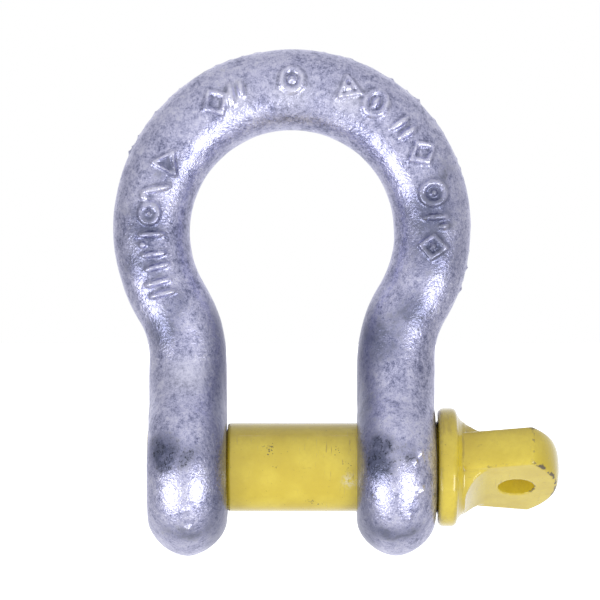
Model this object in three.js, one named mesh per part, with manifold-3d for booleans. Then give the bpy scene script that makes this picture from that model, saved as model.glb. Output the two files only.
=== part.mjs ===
// A bow shackle with a screw pin: a forged bow of round bar, and the pin that closes its jaw.
//
// Millimetres. +Z points to the crown of the bow and +X along the pin, towards its head. The origin
// lies on the pin's axis, midway between the two ears. The pin's thread sits in the ear at -X.

import * as THREE from 'three';
import { mergeVertices } from 'three/addons/utils/BufferGeometryUtils.js';
import Module from 'manifold-3d';

const wasm = await Module();
wasm.setup();

// --- Driving dimensions -----------------------------------------------------------------------

// Bow
const JAW_GAP = 27.3;              // between the inner faces of the ears
const LEG_DIAMETER = 16.6;
const LEG_STRAIGHT_TO = 22.8;      // height at which the legs start to bend outwards
const LEG_BEND_RADIUS = 22.5;      // of the legs' centreline, where they bend outwards
const CROWN_RADIUS = 29.75;        // of the crown's centreline
const CROWN_SIDE_THINNING = 0.2;   // the bar is this much thinner than a leg at the bow's widest place
const CROWN_TOP_SWELL = 0.9;       // and this much thicker than there at the top of the crown
const EAR_RADIUS = 18.85;
const EAR_SWELL = 0.2;             // an ear is this much thicker than a leg
const EAR_SETFORWARD = 0.05;       // its inner face stands this much out of the leg's inner side
const EAR_FACE_WIDTH = 0.6;        // of the flat ring around the tapped hole's mouth
const FILLET_RADIUS = 18;          // hollow fillet between a leg and its ear, seen along the pin

// Pin
const SHANK_DIAMETER = 18.8;
const PIN_END_PROUD = 0.1;         // the thread's end stands this much out of its ear
const SHANK_CLEARANCE = 0.4;       // around the shank, in the plain ear's hole
const SEAT_GAP = 0.3;              // between the pin's shoulders and the faces they seat on
const SHOULDER_EDGE = 0.5;         // chamfer on the shank's end
const COLLAR_OVERHANG = 3.15;      // the collar stands this much proud of the shank
const COLLAR_THICKNESS = 4.1;      // at its rim
const COLLAR_ROUNDING = 1.2;       // of the rim's edges
const COLLAR_BACK = 1.1;           // length of its sloping back, from the rim to the neck
const NECK_OVERHANG = 0.3;         // the round neck behind the collar, proud of the shank
const HEAD_LENGTH = 20.6;          // from the collar's back to the tip
const HEAD_WIDTH = 25.7;           // where its flared sides end
const HEAD_FLARE = 0.2;            // the sides spread by this much for each millimetre of length
const HEAD_THICKNESS = 8.6;        // between its flats
const HEAD_END_RADIUS = 15.8;      // of its curved end
const HEAD_EDGE_SIDE = 1.0;        // the head's narrow sides and end bulge out by this much
const HEAD_EDGE_SHARE = 0.42;      // and each edge's bulge takes up this share of the thickness
const RAMP_LENGTH = 6;             // from the neck's start to where the head is flat
const RAMP_STEP = 0.5;             // the ramps start this much inside the neck's round
const HEAD_DROP = 0.35;            // the forged head's middle lies this much under the pin's axis
const EYE_DIAMETER = 7.6;
const EYE_FROM_TIP = 9.2;
const HEAD_TURN = 63;              // degrees that the head's flats are turned down from facing -Y

// Thread
const PITCH = 2.54;
const THREAD_DEPTH = 1.3;
const THREAD_CREST = 0.6;          // width of a crest
const THREAD_UNDER_SHANK = 0.4;    // the thread's crests lie this much below the shank's surface
const THREAD_CLEARANCE = 0.3;      // from the pin's crests to the tapped ear's crests
const MOUTH_CHAMFER = 1.4;         // at both mouths of the tapped hole

// Facets
const ROUND = 32;                  // around the ears, the shank and the collar
const BAR_SIDES = 18;              // around the bar
const BAR_STEPS = 52;              // along the whole bow
const RIM_STEPS = 5;               // across each half of an ear's rounded rim
const TURN_STEPS = 12;             // along one turn of thread
const EDGE_STEPS = 3;              // across a rounded edge

// --- Worked out from them ---------------------------------------------------------------------

const earThickness = LEG_DIAMETER + EAR_SWELL;
const earInner = JAW_GAP / 2;
const earOuter = earInner + earThickness;
const earMiddle = earInner + earThickness / 2;
const legX = earInner + EAR_SETFORWARD + LEG_DIAMETER / 2;

// The legs' bends and the crown are tangent circles, so the crown's height follows from their radii.
const bendX = legX + LEG_BEND_RADIUS;
const crownZ = LEG_STRAIGHT_TO + Math.sqrt((CROWN_RADIUS + LEG_BEND_RADIUS) ** 2 - bendX ** 2);
const bendAngle = Math.asin((crownZ - LEG_STRAIGHT_TO) / (CROWN_RADIUS + LEG_BEND_RADIUS));

const shankRadius = SHANK_DIAMETER / 2;
const shankStart = -earInner + SEAT_GAP;
const collarStart = earOuter + SEAT_GAP;
const collarEnd = collarStart + COLLAR_THICKNESS;
const neckStart = collarEnd + COLLAR_BACK;
const pinEnd = -earOuter - PIN_END_PROUD;
const tipX = neckStart + HEAD_LENGTH;
const neckRadius = shankRadius + NECK_OVERHANG;
const threadCrestRadius = shankRadius - THREAD_UNDER_SHANK;
const threadRootRadius = threadCrestRadius - THREAD_DEPTH;
const tappedRadius = threadCrestRadius + THREAD_CLEARANCE;
const mouthRadius = tappedRadius + MOUTH_CHAMFER;
const earFaceRadius = mouthRadius + EAR_FACE_WIDTH;
const SLIVER = 0.2;                // how far joined solids run into each other

// --- Solids -----------------------------------------------------------------------------------

function solid(geometry) {
  const bare = geometry.index ? geometry.toNonIndexed() : geometry.clone();
  bare.deleteAttribute('normal');
  bare.deleteAttribute('uv');
  const merged = mergeVertices(bare, 1e-4);
  return new wasm.Manifold(new wasm.Mesh({
    numProp: 3,
    vertProperties: new Float32Array(merged.attributes.position.array),
    triVerts: new Uint32Array(merged.index.array),
  }));
}

function geometryOf(manifold) {
  const mesh = manifold.getMesh();
  const geometry = new THREE.BufferGeometry();
  geometry.setAttribute('position', new THREE.BufferAttribute(new Float32Array(mesh.vertProperties), 3));
  geometry.setIndex(new THREE.BufferAttribute(new Uint32Array(mesh.triVerts), 1));
  geometry.computeVertexNormals();
  return geometry;
}

// A solid of revolution about the X axis. The profile's points are [x, radius], from -X to +X.
function turned(profile) {
  const points = profile.map(([x, radius]) => new THREE.Vector2(radius, x));
  return solid(new THREE.LatheGeometry(points, ROUND).rotateZ(-Math.PI / 2));
}

const rod = (radius, from, to) => turned([[from, 0], [from, radius], [to, radius], [to, 0]]);

// --- Bow --------------------------------------------------------------------------------------

// The bar's centreline, from one ear's middle up a leg, round the crown and down to the other ear.
// Its frames carry the bar's radius, so a section of radius 1 swept along it swells and thins.
class BowLine extends THREE.Curve {
  constructor() {
    super();
    this.leg = LEG_STRAIGHT_TO;
    this.bend = LEG_BEND_RADIUS * bendAngle;
    this.crown = CROWN_RADIUS * (Math.PI / 2 + bendAngle);
    this.half = this.leg + this.bend + this.crown;
  }

  getPoint(t, target = new THREE.Vector3()) {
    const side = t < 0.5 ? -1 : 1;
    const s = this.half * (1 - Math.abs(2 * t - 1));
    if (s < this.leg) return target.set(side * legX, 0, s);
    if (s < this.leg + this.bend) {
      const turn = (s - this.leg) / LEG_BEND_RADIUS;
      const x = bendX - LEG_BEND_RADIUS * Math.cos(turn);
      return target.set(side * x, 0, this.leg + LEG_BEND_RADIUS * Math.sin(turn));
    }
    const angle = (s - this.leg - this.bend) / CROWN_RADIUS - bendAngle;
    return target.set(side * CROWN_RADIUS * Math.cos(angle), 0, crownZ + CROWN_RADIUS * Math.sin(angle));
  }

  // Thin at the bend, thickest at the top of the crown, and easing back to full size down the leg.
  radiusAt(point) {
    const sideDiameter = LEG_DIAMETER - CROWN_SIDE_THINNING;
    const crownward = (z) => sideDiameter + (CROWN_TOP_SWELL * (z - crownZ)) / CROWN_RADIUS;
    const bendEnd = LEG_STRAIGHT_TO + LEG_BEND_RADIUS * Math.sin(bendAngle);
    if (point.z > bendEnd) return crownward(point.z) / 2;
    const share = Math.max(0, (point.z - LEG_STRAIGHT_TO) / (bendEnd - LEG_STRAIGHT_TO));
    return THREE.MathUtils.lerp(LEG_DIAMETER, crownward(bendEnd), share) / 2;
  }

  computeFrenetFrames(steps) {
    const frames = { tangents: [], normals: [], binormals: [] };
    for (let i = 0; i <= steps; i++) {
      const tangent = this.getTangentAt(i / steps);
      const radius = this.radiusAt(this.getPointAt(i / steps));
      const binormal = new THREE.Vector3(0, 1, 0);
      const normal = new THREE.Vector3().crossVectors(binormal, tangent);
      frames.tangents.push(tangent);
      frames.normals.push(normal.multiplyScalar(radius));
      frames.binormals.push(binormal.multiplyScalar(radius));
    }
    return frames;
  }
}

function bar() {
  const section = new THREE.Shape();
  for (let i = 0; i < BAR_SIDES; i++) {
    const angle = (2 * Math.PI * i) / BAR_SIDES;
    if (i === 0) section.moveTo(Math.cos(angle), Math.sin(angle));
    else section.lineTo(Math.cos(angle), Math.sin(angle));
  }
  section.closePath();
  return solid(new THREE.ExtrudeGeometry(section, { steps: BAR_STEPS, extrudePath: new BowLine() }));
}

// A round ear with flat faces and a full, slightly pointed rim.
function ear(side) {
  const halfThickness = earThickness / 2;
  const rim = (share) => halfThickness * (1 - share ** 1.75) ** 0.57;
  const half = [];
  for (let i = 0; i <= RIM_STEPS; i++) {
    const share = Math.sin((i / RIM_STEPS) * Math.PI / 2);
    half.push([rim(share), earFaceRadius + (EAR_RADIUS - earFaceRadius) * share]);
  }
  return turned([
    [-halfThickness, 0],
    ...half.map(([x, radius]) => [-x, radius]),
    ...half.reverse().slice(1),
    [halfThickness, 0],
  ]).translate([side * earMiddle, 0, 0]);
}

// The web that spreads each leg to its ear's full depth: a stack of ellipses, a SLIVER inside the
// leg's sides, whose depth follows a hollow fillet between the leg and the ear's round outline.
function shoulder(side) {
  const halfWidth = LEG_DIAMETER / 2 - SLIVER;
  const reach = FILLET_RADIUS + EAR_RADIUS;
  const top = Math.sqrt(reach ** 2 - (halfWidth + FILLET_RADIUS) ** 2);
  const foot = (EAR_RADIUS * top) / reach;
  const depthAt = (z) => (
    halfWidth + FILLET_RADIUS - Math.sqrt(FILLET_RADIUS ** 2 - (top - Math.max(z, foot)) ** 2)
  );
  const profile = [[0, 0], [depthAt(foot), 0]];
  for (let i = 0; i <= RIM_STEPS; i++) {
    const z = foot + ((top - foot) * i) / RIM_STEPS;
    profile.push([depthAt(z), z]);
  }
  profile.push([0, top]);
  const points = profile.map(([depth, z]) => new THREE.Vector2(depth, z));
  const web = new THREE.LatheGeometry(points, BAR_SIDES).rotateX(Math.PI / 2);
  const position = web.attributes.position;
  for (let i = 0; i < position.count; i++) {
    position.setX(i, (position.getX(i) * halfWidth) / depthAt(position.getZ(i)));
  }
  return solid(web).translate([side * legX, 0, 0]);
}

// A right-handed helix about the X axis, with frames whose normals point away from the axis.
class Helix extends THREE.Curve {
  constructor(radius, from, to) {
    super();
    Object.assign(this, { radius, from, length: to - from });
  }

  getPoint(t, target = new THREE.Vector3()) {
    const angle = (2 * Math.PI * this.length * t) / PITCH;
    const x = this.from + this.length * t;
    return target.set(x, this.radius * Math.cos(angle), this.radius * Math.sin(angle));
  }

  computeFrenetFrames(steps) {
    const frames = { tangents: [], normals: [], binormals: [] };
    for (let i = 0; i <= steps; i++) {
      const point = this.getPoint(i / steps);
      const tangent = this.getTangent(i / steps);
      const normal = new THREE.Vector3(0, point.y, point.z).normalize();
      frames.tangents.push(tangent);
      frames.normals.push(normal);
      frames.binormals.push(new THREE.Vector3().crossVectors(tangent, normal));
    }
    return frames;
  }
}

// One thread's ridge, from its root to its crest. It runs SLIVER into the core that it stands on.
function ridge(rootRadius, from, to) {
  const crest = THREAD_CREST / 2;
  const root = (PITCH - THREAD_CREST) / 2;
  const section = new THREE.Shape();
  section.moveTo(-SLIVER, -root);
  section.lineTo(THREAD_DEPTH, -crest);
  section.lineTo(THREAD_DEPTH, crest);
  section.lineTo(-SLIVER, root);
  section.closePath();
  const steps = Math.ceil((TURN_STEPS * (to - from)) / PITCH);
  return solid(new THREE.ExtrudeGeometry(section, { steps, extrudePath: new Helix(rootRadius, from, to) }));
}

function bow() {
  const throughFrom = earInner - 1;
  const throughTo = earOuter + 1;
  const tapped = turned([
    [-throughTo, 0], [-throughTo, mouthRadius + 1], [-earOuter + MOUTH_CHAMFER, tappedRadius],
    [-earInner - MOUTH_CHAMFER, tappedRadius], [-throughFrom, mouthRadius + 1], [-throughFrom, 0],
  ]).add(ridge(tappedRadius, -throughTo, -throughFrom));
  return bar()
    .add(ear(-1)).add(ear(1))
    .add(shoulder(-1)).add(shoulder(1))
    .subtract(rod(shankRadius + SHANK_CLEARANCE, throughFrom, throughTo))
    .subtract(tapped);
}

// --- Screw pin --------------------------------------------------------------------------------

function threadedEnd() {
  const into = shankStart + SHOULDER_EDGE + SLIVER;
  const envelope = turned([
    [pinEnd, 0], [pinEnd, threadRootRadius], [pinEnd + THREAD_DEPTH, threadCrestRadius],
    [into, threadCrestRadius], [into, 0],
  ]);
  return rod(threadRootRadius, pinEnd, into)
    .add(ridge(threadRootRadius, pinEnd - PITCH, into + PITCH))
    .intersect(envelope);
}

function shank() {
  const to = collarStart + SLIVER;
  return turned([
    [shankStart, 0], [shankStart, shankRadius - SHOULDER_EDGE],
    [shankStart + SHOULDER_EDGE, shankRadius], [to, shankRadius], [to, 0],
  ]);
}

function collar() {
  const radius = shankRadius + COLLAR_OVERHANG - COLLAR_ROUNDING;
  const rim = (centre, way, i) => {
    const angle = (i / EDGE_STEPS) * Math.PI / 2;
    return [centre - way * COLLAR_ROUNDING * Math.cos(angle), radius + COLLAR_ROUNDING * Math.sin(angle)];
  };
  const profile = [[collarStart, 0]];
  for (let i = 0; i <= EDGE_STEPS; i++) profile.push(rim(collarStart + COLLAR_ROUNDING, 1, i));
  for (let i = EDGE_STEPS; i >= 0; i--) profile.push(rim(collarEnd - COLLAR_ROUNDING, -1, i));
  profile.push([neckStart, neckRadius], [neckStart + SLIVER, neckRadius], [neckStart + SLIVER, 0]);
  return turned(profile);
}

// The head is drawn in its own plane, X along the pin, Y across the flats and Z through the
// thickness, and is then turned about the pin. Its outline is a fan with a curved end; the bevel
// makes its narrow sides and its end bulge.
function tab() {
  const halfWidth = HEAD_WIDTH / 2 - HEAD_EDGE_SIDE;
  const start = neckStart;
  const end = tipX - HEAD_EDGE_SIDE;
  const endAngle = Math.asin(halfWidth / HEAD_END_RADIUS);
  const cornerX = end - HEAD_END_RADIUS * (1 - Math.cos(endAngle));
  const startHalfWidth = halfWidth - HEAD_FLARE * (cornerX - start);

  const outline = new THREE.Shape();
  outline.moveTo(start, -startHalfWidth);
  outline.lineTo(cornerX, -halfWidth);
  outline.absarc(end - HEAD_END_RADIUS, 0, HEAD_END_RADIUS, -endAngle, endAngle, false);
  outline.lineTo(start, startHalfWidth);
  outline.closePath();
  const edgeDepth = HEAD_THICKNESS * HEAD_EDGE_SHARE;
  const flatDepth = HEAD_THICKNESS - 2 * edgeDepth;
  return solid(new THREE.ExtrudeGeometry(outline, {
    depth: flatDepth,
    bevelThickness: edgeDepth,
    bevelSize: HEAD_EDGE_SIDE,
    bevelSegments: EDGE_STEPS,
    curveSegments: 2 * EDGE_STEPS,
    steps: 1,
  }).translate(0, 0, -flatDepth / 2));
}

// The round neck, thinned in a hollow curve on both sides. It ends a SLIVER under the tab's flats.
function neck() {
  const thick = neckRadius - RAMP_STEP;
  const thin = HEAD_THICKNESS / 2 - SLIVER;
  const rampEnd = neckStart + RAMP_LENGTH;
  const hollowX = neckStart + 0.45 * RAMP_LENGTH;
  const side = new THREE.Shape();
  side.moveTo(neckStart - SLIVER, thick);
  side.lineTo(neckStart, thick);
  side.quadraticCurveTo(hollowX, thin, rampEnd, thin);
  side.lineTo(rampEnd, -thin);
  side.quadraticCurveTo(hollowX, -thin, neckStart, -thick);
  side.lineTo(neckStart - SLIVER, -thick);
  side.closePath();
  const depth = 2 * neckRadius + 2;
  const ramps = new THREE.ExtrudeGeometry(side, {
    depth, bevelEnabled: false, curveSegments: 2 * EDGE_STEPS,
  }).translate(0, 0, -depth / 2).rotateX(-Math.PI / 2);
  return rod(neckRadius, neckStart - SLIVER, rampEnd).intersect(solid(ramps));
}

function head() {
  const eye = new THREE.CylinderGeometry(EYE_DIAMETER / 2, EYE_DIAMETER / 2, 2 * HEAD_THICKNESS, ROUND / 2)
    .rotateX(Math.PI / 2).translate(tipX - EYE_FROM_TIP, 0, 0);
  return neck().add(tab()).subtract(solid(eye)).rotate([HEAD_TURN - 90, 0, 0]).translate([0, 0, -HEAD_DROP]);
}

function screwPin() {
  return threadedEnd().add(shank()).add(collar()).add(head());
}

// --- Assembly ---------------------------------------------------------------------------------

function piece(name, manifold, material) {
  const mesh = new THREE.Mesh(geometryOf(manifold), new THREE.MeshStandardMaterial(material));
  mesh.name = name;
  return mesh;
}

const zinc = { color: 0x9a9ab0, roughness: 0.45, metalness: 0.8 };
const yellowPaint = { color: 0xd9bf3a, roughness: 0.4, metalness: 0 };

const group = new THREE.Group();
group.name = 'bow_shackle';
group.add(piece('bow', bow(), zinc));
group.add(piece('screw_pin', screwPin(), yellowPaint));

export default group;
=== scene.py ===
# %% [markdown]
# # A bow shackle with a screw pin
# A shackle joins a chain or a sling to an eye. It is two forgings: a bow of round bar with an ear at
# each end, and a pin that passes one ear and screws into the other. The bow is dipped in zinc and
# the pin is painted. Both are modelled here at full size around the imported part, which gives every
# place: the pin lies along X, the crown of the bow is up, and the origin is in the middle of the jaw.

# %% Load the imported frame
import math

import bmesh
import bpy
import numpy as np
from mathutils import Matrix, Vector


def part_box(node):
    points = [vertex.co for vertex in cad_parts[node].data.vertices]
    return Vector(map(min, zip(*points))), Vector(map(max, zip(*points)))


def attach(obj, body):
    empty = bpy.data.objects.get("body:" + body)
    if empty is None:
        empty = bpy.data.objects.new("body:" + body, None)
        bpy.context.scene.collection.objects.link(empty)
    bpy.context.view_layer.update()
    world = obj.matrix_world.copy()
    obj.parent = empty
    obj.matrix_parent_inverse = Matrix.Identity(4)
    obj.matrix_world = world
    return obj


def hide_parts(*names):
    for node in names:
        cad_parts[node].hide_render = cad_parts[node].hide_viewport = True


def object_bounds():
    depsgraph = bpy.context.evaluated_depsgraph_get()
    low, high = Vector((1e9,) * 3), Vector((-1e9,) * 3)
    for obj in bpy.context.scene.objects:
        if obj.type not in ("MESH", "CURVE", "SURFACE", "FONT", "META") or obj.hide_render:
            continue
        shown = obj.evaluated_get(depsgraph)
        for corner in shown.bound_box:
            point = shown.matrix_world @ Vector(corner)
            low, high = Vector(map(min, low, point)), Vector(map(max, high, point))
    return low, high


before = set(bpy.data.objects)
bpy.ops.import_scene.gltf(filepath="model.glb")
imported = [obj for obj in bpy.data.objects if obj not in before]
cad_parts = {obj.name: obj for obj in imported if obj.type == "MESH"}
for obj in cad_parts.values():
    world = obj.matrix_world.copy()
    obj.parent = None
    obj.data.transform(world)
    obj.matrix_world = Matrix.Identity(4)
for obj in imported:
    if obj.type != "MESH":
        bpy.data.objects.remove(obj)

MM = 0.001
cad_box = [list(corner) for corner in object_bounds()]
bow_low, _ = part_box("bow")
pin_low, pin_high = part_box("screw_pin")


def in_mm(box):
    return [[round(v / MM, 2) for v in corner] for corner in box]


print("nodes:", sorted(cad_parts), "box in mm:", in_mm(cad_box))

# %% [markdown]
# ## The driving sizes
# Every length is in millimetres and is turned into metres where a mesh is made. The bow's line is
# five pieces of circle and straight: a leg, a bend outwards, the crown, and the same again down the
# other side. The bends and the crown touch smoothly, so the crown's height follows from their radii.

# %% Sizes of the bow
JAW_GAP = 27.3
LEG_RADIUS = 8.3
LEG_SETBACK = 0.05
LEG_X = JAW_GAP / 2 + LEG_SETBACK + LEG_RADIUS
LEG_TOP = 22.8
BEND_RADIUS = 22.5
CROWN_RADIUS = 29.75
BEND_X = LEG_X + BEND_RADIUS
CROWN_Z = LEG_TOP + math.sqrt((CROWN_RADIUS + BEND_RADIUS) ** 2 - BEND_X ** 2)
BEND_ANGLE = math.asin((CROWN_Z - LEG_TOP) / (CROWN_RADIUS + BEND_RADIUS))
BEND_END = LEG_TOP + BEND_RADIUS * math.sin(BEND_ANGLE)
EAR_RADIUS = -bow_low.z / MM
EAR_THICKNESS = 16.8
EAR_INNER = JAW_GAP / 2
EAR_OUTER = EAR_INNER + EAR_THICKNESS
EAR_X = (EAR_INNER + EAR_OUTER) / 2
print("crown's middle at z", round(CROWN_Z, 2))
print("bends turn", round(math.degrees(BEND_ANGLE), 1), "degrees")

# %% Sizes of the pin and its thread
SHANK_RADIUS = 9.4
PITCH = 2.54
THREAD_DEPTH = 1.3
THREAD_CREST = 0.6
THREAD_UNDER_SHANK = 0.4
THREAD_CLEARANCE = 0.3
PIN_CREST = SHANK_RADIUS - THREAD_UNDER_SHANK
PIN_ROOT = PIN_CREST - THREAD_DEPTH
TAPPED_CREST = PIN_CREST + THREAD_CLEARANCE
SEAT_GAP = 0.3
COLLAR_THICKNESS = 4.1
COLLAR_BACK = 1.1
NECK_OVERHANG = 0.3
COLLAR_X = EAR_OUTER + SEAT_GAP
COLLAR_END = COLLAR_X + COLLAR_THICKNESS
NECK_X = COLLAR_END + COLLAR_BACK
NECK_RADIUS = SHANK_RADIUS + NECK_OVERHANG
COLLAR_RADIUS = pin_high.z / MM
TIP_X = pin_high.x / MM
PIN_END = pin_low.x / MM
print("pin from", round(PIN_END, 2), "to", round(TIP_X, 2), "mm")
print("collar radius", round(COLLAR_RADIUS, 2), "mm")

# %% [markdown]
# ## A few tools
# Each tool does one thing that a modeller does by hand. A primitive is added alone, with its place
# put into its mesh, and opened in edit mode. A line is drawn by extruding one vertex from point to
# point, which is the start of anything turned on a lathe. A modifier is added, set and applied.

# %% Modelling tools
def use_none():
    """Leaves edit mode and selects nothing."""
    if bpy.context.object and bpy.context.object.mode == "EDIT":
        bpy.ops.object.mode_set(mode="OBJECT")
    bpy.ops.object.select_all(action="DESELECT")


def use_only(obj):
    """Leaves edit mode and selects one object alone."""
    use_none()
    obj.select_set(True)
    bpy.context.view_layer.objects.active = obj


def open_all(obj):
    """Opens a piece in edit mode, all selected."""
    use_only(obj)
    bpy.ops.object.mode_set(mode="EDIT")
    bpy.ops.mesh.select_all(action="SELECT")


def start_piece(name, add, **settings):
    """Adds one primitive, puts its place into its mesh, and opens it in edit mode, all selected."""
    use_none()
    add(**settings)
    bpy.ops.object.transform_apply(location=True, rotation=True, scale=True)
    obj = bpy.context.object
    obj.name = name
    obj.data.name = name
    bpy.ops.object.mode_set(mode="EDIT")
    bpy.ops.mesh.select_mode(type="VERT")
    bpy.ops.mesh.select_all(action="SELECT")
    return obj


def draw_line(name, points, flat=False):
    """Extrudes one vertex through points in mm: (x, z) in the plane of the bow, or (x, y) if flat."""
    places = [Vector((x, side, 0) if flat else (x, 0, side)) * MM for x, side in points]
    obj = start_piece(name, bpy.ops.mesh.primitive_plane_add, size=MM, location=places[0])
    bpy.ops.mesh.merge(type="CENTER")
    for here, there in zip(places, places[1:]):
        bpy.ops.mesh.extrude_region_move(TRANSFORM_OT_translate={"value": there - here})
    return obj


def turn_on_lathe(name, profile, steps=96):
    """Spins a profile, given in mm as (x, radius), once round the pin's axis."""
    obj = draw_line(name, profile)
    bpy.ops.mesh.select_all(action="SELECT")
    bpy.ops.mesh.spin(steps=steps, angle=math.tau, center=(0, 0, 0), axis=(1, 0, 0))
    close_up(obj)
    return obj


def close_up(obj):
    """Merges doubles, turns the faces outwards and leaves edit mode."""
    bpy.ops.mesh.select_all(action="SELECT")
    bpy.ops.mesh.remove_doubles(threshold=0.002 * MM)
    bpy.ops.mesh.normals_make_consistent(inside=False)
    bpy.ops.object.mode_set(mode="OBJECT")


def fill_outline():
    """Closes the line that is open in edit mode with one face, and leaves it selected."""
    bpy.ops.mesh.select_all(action="SELECT")
    bpy.ops.mesh.edge_face_add()


def apply_modifier(obj, kind, **settings):
    """Adds a modifier with these settings and applies it."""
    use_only(obj)
    bpy.ops.object.modifier_add(type=kind)
    modifier = obj.modifiers[-1]
    for setting, value in settings.items():
        setattr(modifier, setting, value)
    bpy.ops.object.modifier_apply(modifier=modifier.name)


def join(keep, others):
    """Puts the other pieces into the first, which keeps its name."""
    use_only(keep)
    for other in others:
        other.select_set(True)
    bpy.ops.object.join()


def cut_or_add(obj, tool, operation):
    """A boolean with another solid, which is used up."""
    apply_modifier(obj, "BOOLEAN", operation=operation, object=tool, solver="MANIFOLD")
    bpy.data.objects.remove(tool)


def triangles(obj):
    return sum(len(face.vertices) - 2 for face in obj.data.polygons)


def measure(obj):
    """Prints a piece's triangles and its box in mm."""
    co = np.empty(len(obj.data.vertices) * 3)
    obj.data.vertices.foreach_get("co", co)
    co = co.reshape(-1, 3) / MM
    print(obj.name, triangles(obj), "triangles", co.min(0).round(2), co.max(0).round(2))


MOST_TRIANGLES = 190000


def thin_out(obj):
    """Spends the triangles where the surface turns, and saves them where it is plain."""
    measure(obj)
    if triangles(obj) > MOST_TRIANGLES:
        apply_modifier(obj, "DECIMATE", ratio=MOST_TRIANGLES / triangles(obj))
        measure(obj)


# %% [markdown]
# ## The bar
# A smith bends a straight bar round a former. Here the bar is one circle, extruded up the first leg
# and spun round the three centres of the bow's line, as the bar was bent. It is a little thinner
# where it was bent outwards and thicker at the crown. A Displace modifier gives that swell, with a
# vertex group that says how much of it each ring of the bar takes.

# %% Sweep the bar
BAR_THIN = 7.965
CROWN_SWELL = 0.68
BAR_SIDES = 80
LEG_STEPS = 6
BEND_STEPS = 14
CROWN_STEPS = 120


def line_height(co):
    """Height in mm of the bar's middle line beside a point of its surface."""
    x, z = abs(co.x) / MM, co.z / MM
    round_crown = math.atan2(z - CROWN_Z, x)
    if round_crown > -BEND_ANGLE:
        return CROWN_Z + CROWN_RADIUS * math.sin(round_crown)
    if z < LEG_TOP:
        return z
    return LEG_TOP + BEND_RADIUS * math.sin(math.atan2(z - LEG_TOP, BEND_X - x))


def swell_at(co):
    """Share of the swell at a point: 1 at the crown's top, 0 at the bend's end, some on the leg."""
    z = line_height(co)
    if z > BEND_END:
        return (z - BEND_END) / (CROWN_Z + CROWN_RADIUS - BEND_END)
    leg_share = (LEG_RADIUS - BAR_THIN) / CROWN_SWELL
    return leg_share * (1 - max(0, (z - LEG_TOP) / (BEND_END - LEG_TOP)))


bow = start_piece(
    "bow_forging", bpy.ops.mesh.primitive_circle_add,
    vertices=BAR_SIDES, radius=BAR_THIN * MM, fill_type="NGON", location=(-LEG_X * MM, 0, 0),
)
for _ in range(LEG_STEPS):
    bpy.ops.mesh.extrude_region_move(TRANSFORM_OT_translate={"value": (0, 0, LEG_TOP / LEG_STEPS * MM)})
for centre_x, centre_z, angle, steps in (
    (-BEND_X, LEG_TOP, BEND_ANGLE, BEND_STEPS),
    (0, CROWN_Z, -math.pi - 2 * BEND_ANGLE, CROWN_STEPS),
    (BEND_X, LEG_TOP, BEND_ANGLE, BEND_STEPS),
):
    centre = (centre_x * MM, 0, centre_z * MM)
    bpy.ops.mesh.spin(steps=steps, angle=angle, center=centre, axis=(0, 1, 0))
for _ in range(LEG_STEPS):
    bpy.ops.mesh.extrude_region_move(TRANSFORM_OT_translate={"value": (0, 0, -LEG_TOP / LEG_STEPS * MM)})
close_up(bow)
measure(bow)
group = bow.vertex_groups.new(name="swell")
for vertex in bow.data.vertices:
    group.add([vertex.index], swell_at(vertex.co), "REPLACE")
apply_modifier(bow, "DISPLACE", vertex_group="swell", strength=CROWN_SWELL * MM, mid_level=0)
measure(bow)

# %% [markdown]
# ## The ears and their shoulders
# Each end of the bar was upset into a thick round ear. It is turned on the lathe like a yo-yo: a
# flat ring round the hole, then a rim that falls away to a blunt nose. Between the ear and the leg
# stands a shoulder, flat like the leg seen from the front and hollow seen from the side. It is a
# circle extruded upwards and squeezed at every step, so that its depth follows a fillet.

# %% Turn the ears
EAR_HALF = (EAR_OUTER - EAR_INNER) / 2
EAR_FACE = 11.3
RIM_STEPS = 14
RIM_FALL = 1.75   # the higher, the longer the rim stays as thick as the ear's face
RIM_NOSE = 0.57   # the lower, the blunter its nose


def ear_profile(side):
    """Half the ear's section, from the middle of one face round the rim to the other."""
    rim = []
    for i in range(RIM_STEPS + 1):
        share = math.sin(i / RIM_STEPS * math.pi / 2)
        half = EAR_HALF * (1 - share ** RIM_FALL) ** RIM_NOSE
        rim.append((half, EAR_FACE + (EAR_RADIUS - EAR_FACE) * share))
    near = [(-x, radius) for x, radius in rim]
    far = [(x, radius) for x, radius in reversed(rim[:-1])]
    ring = [(-EAR_HALF, 0)] + near + far + [(EAR_HALF, 0)]
    return [(side * EAR_X + x, radius) for x, radius in ring]


ears = [turn_on_lathe("ear", ear_profile(side), steps=128) for side in (-1, 1)]
measure(ears[0])

# %% Raise the shoulders
FILLET = 18
SHOULDER_INSET = 0.2
SHOULDER_HALF = LEG_RADIUS - SHOULDER_INSET
SHOULDER_TOP = math.sqrt((FILLET + EAR_RADIUS) ** 2 - (SHOULDER_HALF + FILLET) ** 2)
SHOULDER_FOOT = EAR_RADIUS * SHOULDER_TOP / (FILLET + EAR_RADIUS)
SHOULDER_STEPS = 12


def shoulder_depth(z):
    """Half the shoulder's depth from front to back, which the fillet gives at a height in mm."""
    return SHOULDER_HALF + FILLET - math.sqrt(FILLET ** 2 - (SHOULDER_TOP - max(z, SHOULDER_FOOT)) ** 2)


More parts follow.
